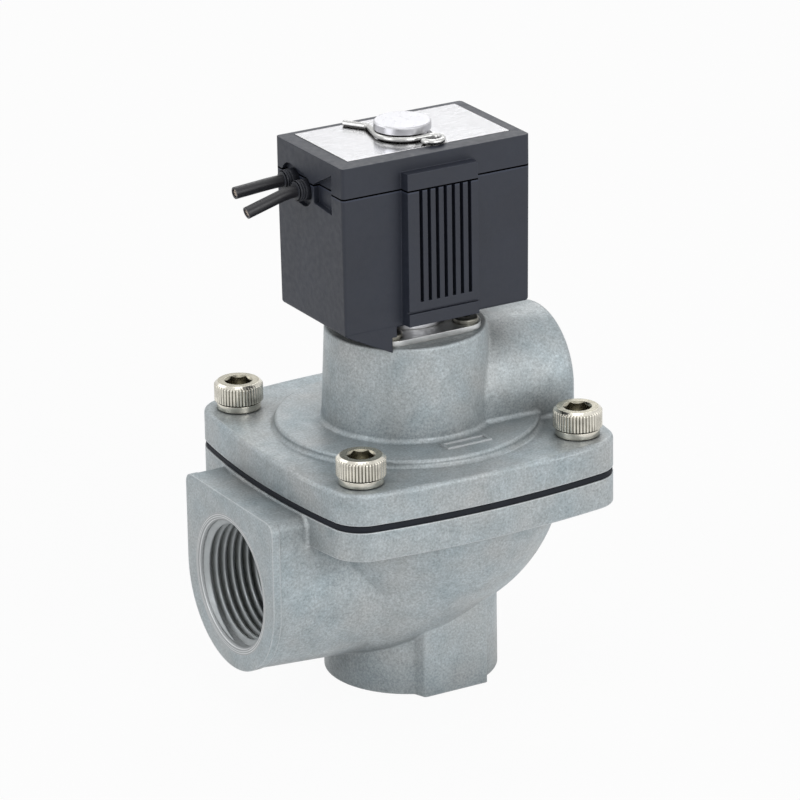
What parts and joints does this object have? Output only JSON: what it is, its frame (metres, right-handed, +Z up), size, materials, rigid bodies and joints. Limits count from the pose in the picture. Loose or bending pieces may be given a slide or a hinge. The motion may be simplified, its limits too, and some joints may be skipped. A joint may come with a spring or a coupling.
{
  "type": "dust collector pulse valve",
  "caption": "Right-angle diaphragm pulse valve with threaded side inlet, bottom outlet and a solenoid pilot coil on top.",
  "frame": {"origin": "centre of the outlet's face, under the valve", "axes": "+Z up through the outlet, the tower and the coil; the inlet looks along -X; the coil's ribbed front looks along -Y"},
  "size_m": [0.0763, 0.0688, 0.1176],
  "materials": {
    "cast_aluminium": "die cast, matt and slightly mottled",
    "nickel_plated": "bright nickel plate",
    "black_plastic": "moulded, dark grey",
    "black_rubber": "matt",
    "lead_sheath": "flexible sheath",
    "plated_steel": "bright zinc plate",
    "stainless": "turned",
    "spring_steel": "drawn wire",
    "dark_screw": "blackened",
    "copper": "enamelled winding wire and copper ring"
  },
  "bodies": {
    "housing": {"valve_body": "cast_aluminium", "cover": "cast_aluminium", "cover_screw_1": "nickel_plated", "cover_screw_2": "nickel_plated", "cover_screw_3": "nickel_plated", "cover_screw_4": "nickel_plated", "main_diaphragm": "black_rubber", "main_spring": "spring_steel", "core_tube": "stainless", "tube_seal_ring": "black_rubber", "retainer_plate": "stainless", "retainer_screw_1": "dark_screw", "retainer_screw_2": "dark_screw", "retainer_screw_3": "dark_screw", "retainer_screw_4": "dark_screw", "plunger_spring": "spring_steel", "fixed_core": "stainless", "shading_ring": "copper", "coil_yoke": "plated_steel", "coil_bobbin": "black_plastic", "coil_winding": "copper", "coil_shell": "black_plastic", "coil_cap": "black_plastic", "top_plate": "plated_steel", "retaining_clip": "spring_steel", "lead_grommet_1": "black_rubber", "lead_grommet_2": "black_rubber", "lead_wire_1": "lead_sheath", "lead_wire_2": "lead_sheath"},
    "main_poppet": {"upper_plate": "plated_steel", "lower_plate": "plated_steel", "centre_screw": "plated_steel", "centre_nut": "plated_steel"},
    "pilot_plunger": {"plunger": "stainless", "plunger_seal": "black_rubber"}
  },
  "joints": [
    {"name": "main_lift", "type": "slide", "parent": "housing", "child": "main_poppet", "axis": [0, 0, 1], "range_m": [0, 0.005], "stiffness_N_per_m": 400, "springref_m": -0.006, "deforming": ["main_spring", "main_diaphragm"]},
    {"name": "plunger_lift", "type": "slide", "parent": "housing", "child": "pilot_plunger", "axis": [0, 0, 1], "range_m": [0, 0.0018], "stiffness_N_per_m": 300, "springref_m": -0.004, "deforming": ["plunger_spring"]}
  ]
}
